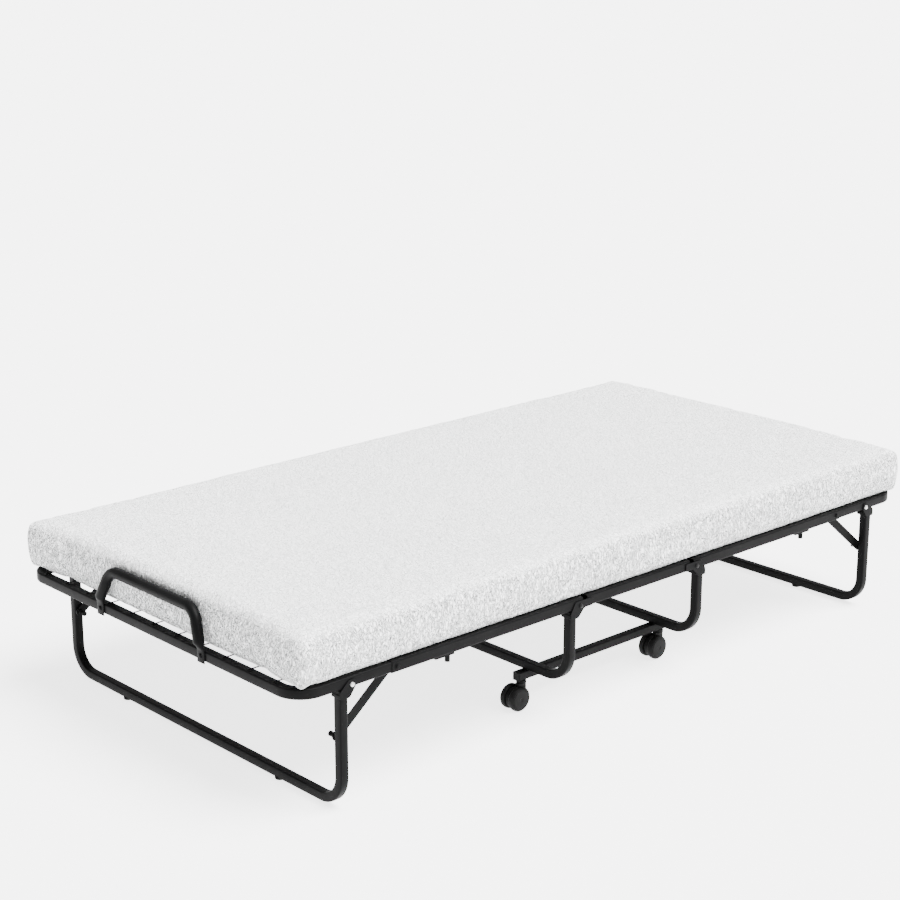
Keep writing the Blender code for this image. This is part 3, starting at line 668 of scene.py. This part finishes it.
def foam_block():
    """The foam's own outline under its cover, slightly small, because the cover swells."""
    low = (MATTRESS_LOW[0] - 0.004, MATTRESS_LOW[1] + 0.001, MATTRESS_LOW[2] + 0.0004)
    high = (MATTRESS_HIGH[0] + 0.004, MATTRESS_HIGH[1] - 0.001, MATTRESS_HIGH[2] - 0.003)
    mesh = add_box(bmesh.new(), low, high)
    upright = [e for e in mesh.edges if abs(e.verts[0].co.z - e.verts[1].co.z) > 0.01]
    bmesh.ops.bevel(mesh, geom=upright, offset=UPRIGHT_EDGE, segments=3, affect="EDGES", profile=0.5)
    for top, radius in ((True, TOP_EDGE), (False, BOTTOM_EDGE)):
        z = high[2] if top else low[2]
        level = [e for e in mesh.edges if all(abs(v.co.z - z) < 1e-6 for v in e.verts)
                 and any(abs(f.normal.z) < 0.1 for f in e.link_faces)]
        bmesh.ops.bevel(mesh, geom=level, offset=radius, segments=5, affect="EDGES", profile=0.5)
    data = bpy.data.meshes.new("foam")
    mesh.to_mesh(data)
    mesh.free()
    block = bpy.data.objects.new("foam", data)
    bpy.context.collection.objects.link(block)
    remesh = block.modifiers.new("even", "REMESH")
    remesh.mode = "VOXEL"
    remesh.voxel_size = COVER_CELL
    return block


def apply_modifiers(piece):
    """The mesh as its modifiers leave it becomes the piece's own mesh."""
    bpy.context.view_layer.update()
    evaluated = piece.evaluated_get(bpy.context.evaluated_depsgraph_get())
    data = bpy.data.meshes.new_from_object(evaluated)
    piece.modifiers.clear()
    piece.data = data


def relax_cover(block):
    """The knit cover settles round the foam: cloth with a little slack and light inside pressure."""
    rest = [vert.co.copy() for vert in block.data.vertices]
    cloth = block.modifiers.new("cover", "CLOTH")
    settings = cloth.settings
    settings.quality = 5
    settings.mass = 0.25
    settings.tension_stiffness = 12
    settings.compression_stiffness = 12
    settings.shear_stiffness = 4
    settings.bending_stiffness = 0.4
    settings.use_pressure = True
    settings.uniform_pressure_force = 3.0
    settings.shrink_min = -0.02
    settings.effector_weights.gravity = 0
    cloth.point_cache.frame_start = 1
    cloth.point_cache.frame_end = COVER_FRAMES
    scene = bpy.context.scene
    for step in range(1, COVER_FRAMES + 1):
        scene.frame_set(step)
    apply_modifiers(block)
    scene.frame_set(1)
    for vert, start in zip(block.data.vertices, rest):
        moved = vert.co - start
        if moved.length > COVER_MOST_SHIFT:
            moved *= COVER_MOST_SHIFT / moved.length
        vert.co = start + moved


def beside_loop(place):
    """How far out the end face may come at this height and width, where the loop leans on it."""
    along = (place.z - LOOP_FOOT[1]) / (LOOP_TOP[1] - LOOP_FOOT[1])
    along = max(0.0, min(1.0, along))
    face = LOOP_FOOT[0] + (LOOP_TOP[0] - LOOP_FOOT[0]) * along - LOOP_RADIUS - 0.0012
    free = max(0.0, min(1.0, (abs(place.y) - 0.195) / 0.035))
    free = free * free * (3 - 2 * free)
    return face + 0.030 * free


def shape_cover(block):
    """Rounds the sides, adds the cover's slack and creases, and settles the rim on the side rails."""
    low, high = MATTRESS_LOW, MATTRESS_HIGH
    middle_z = (low[2] + high[2]) / 2
    half_z = (high[2] - low[2]) / 2
    block.data.update()
    normals = [vert.normal.copy() for vert in block.data.vertices]
    for vert, normal in zip(block.data.vertices, normals):
        place = vert.co
        up = (place.z - middle_z) / half_z
        upright = 1 - min(1, abs(normal.z)) ** 1.5
        across = min(1, abs(place.y) / high[1])
        bulge = SIDE_BULGE * (1 - up * up) * upright
        crown = TOP_CROWN * (1 - across ** 4) * max(0, normal.z) ** 2
        slack = BROAD_SLACK * noise.noise(place * 6)
        slack += FINE_SLACK * noise.noise(place * 21 + Vector((5, 1, 2)))
        crinkle = CRINKLE * noise.noise(Vector((place.x * 95, place.y * 95, place.z * 38)))
        tuck = math.exp(-((abs(place.x) - 0.905) ** 2 + (abs(place.y) - 0.452) ** 2) / 0.0011)
        gather = CORNER_GATHER * tuck * noise.noise(Vector((place.x * 34, place.y * 34, place.z * 12)))
        place += normal * (bulge + crown + slack + crinkle + gather)
        place.z = max(place.z, low[2] + 0.0001)
        over_rail = max(0.0, min(1.0, (abs(place.y) - 0.456) / 0.012))
        near_bottom = max(0.0, 1 - (place.z - low[2]) / 0.030)
        place.z -= (low[2] - RAIL_HIGH[2] - 0.0002) * over_rail * near_bottom
        limit = beside_loop(place)
        place.x = max(-limit, min(limit, place.x))


def half_mattress(block, end_name, end):
    """One half of the cover, closed at the bed's middle."""
    mesh = bmesh.new()
    mesh.from_mesh(block.data)
    geometry = mesh.verts[:] + mesh.edges[:] + mesh.faces[:]
    cut = bmesh.ops.bisect_plane(
        mesh, geom=geometry, plane_co=(0, 0, 0), plane_no=(end, 0, 0), clear_inner=True, dist=1e-6
    )
    rim = [item for item in cut["geom_cut"] if isinstance(item, bmesh.types.BMEdge)]
    filled = bmesh.ops.holes_fill(mesh, edges=rim, sides=0)
    for face in filled["faces"]:
        for edge in face.edges:
            edge.smooth = False
    data = bpy.data.meshes.new(f"mattress_half_{end_name}")
    mesh.to_mesh(data)
    mesh.free()
    data.materials.clear()
    data.materials.append(KNIT)
    rest = data.attributes.new("rest_place", "FLOAT_VECTOR", "POINT")
    for i, vert in enumerate(data.vertices):
        rest.data[i].vector = vert.co
    half = bpy.data.objects.new(f"mattress_half_{end_name}", data)
    bpy.context.collection.objects.link(half)
    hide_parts(f"mattress_panel_{end_name}", f"mattress_bend_{end_name}", "mattress_middle")
    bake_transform(half)


def make_mattress():
    block = foam_block()
    apply_modifiers(block)
    relax_cover(block)
    fine = block.modifiers.new("fine", "SUBSURF")
    fine.levels = 1
    fine.render_levels = 1
    apply_modifiers(block)
    shape_cover(block)
    block.data.shade_smooth()
    for end_name, end in ENDS.items():
        half_mattress(block, end_name, end)
    bpy.data.objects.remove(block)


# ------------------------------------------------------------------- stage

def make_floor():
    """A pale plain floor that is bright enough to read as a white ground."""
    mesh = bmesh.new()
    bmesh.ops.create_grid(mesh, x_segments=1, y_segments=1, size=FLOOR_HALF)
    data = bpy.data.meshes.new("floor")
    mesh.to_mesh(data)
    mesh.free()
    floor = bpy.data.objects.new("floor", data)
    bpy.context.collection.objects.link(floor)
    material = shader_tools("pale_floor", (0.55, 0.55, 0.55), 0.9)[0]
    shader = material.node_tree.nodes["Principled BSDF"]
    shader.inputs["Specular IOR Level"].default_value = 0.1
    shader.inputs["Emission Color"].default_value = (1.0, 1.0, 1.0, 1)
    shader.inputs["Emission Strength"].default_value = FLOOR_GLOW
    data.materials.append(material)


def make_light():
    """An even white world and one very soft key from above the head end's right side."""
    world = bpy.context.scene.world or bpy.data.worlds.new("studio")
    bpy.context.scene.world = world
    world.use_nodes = True
    background = world.node_tree.nodes["Background"]
    background.inputs["Color"].default_value = (1.0, 1.0, 1.0, 1)
    background.inputs["Strength"].default_value = WORLD_STRENGTH
    light = bpy.data.lights.new("soft_key", "SUN")
    light.energy = KEY_ENERGY
    light.angle = math.radians(40)
    lamp = bpy.data.objects.new("soft_key", light)
    lamp.rotation_euler = Vector(KEY_DIRECTION).to_track_quat("-Z", "Y").to_euler()
    bpy.context.collection.objects.link(lamp)


def make_camera():
    """The photo's own view, from beyond the foot end's right corner."""
    camera = bpy.data.cameras.new("camera")
    camera.sensor_width = 36
    camera.lens = EYE_LENS
    camera.clip_end = 400
    eye = bpy.data.objects.new("camera", camera)
    level = math.cos(EYE_DROP)
    ahead = Vector((math.sin(EYE_AZIMUTH) * level, math.cos(EYE_AZIMUTH) * level, -math.sin(EYE_DROP)))
    eye.location = EYE_PLACE
    eye.rotation_euler = ahead.to_track_quat("-Z", "Y").to_euler()
    bpy.context.collection.objects.link(eye)
    bpy.context.scene.camera = eye


make_camera()
make_floor()
make_light()
coat_cad_steel()
for end_name, end in ENDS.items():
    make_end_tube(end_name, end)
    make_mattress_loop(end_name, end)
make_legs()
make_fasteners()
for end_name in ENDS:
    for side_name in SIDES:
        make_caster(f"{end_name}_{side_name}")
        make_glide(f"{end_name}_{side_name}")
make_mattress()
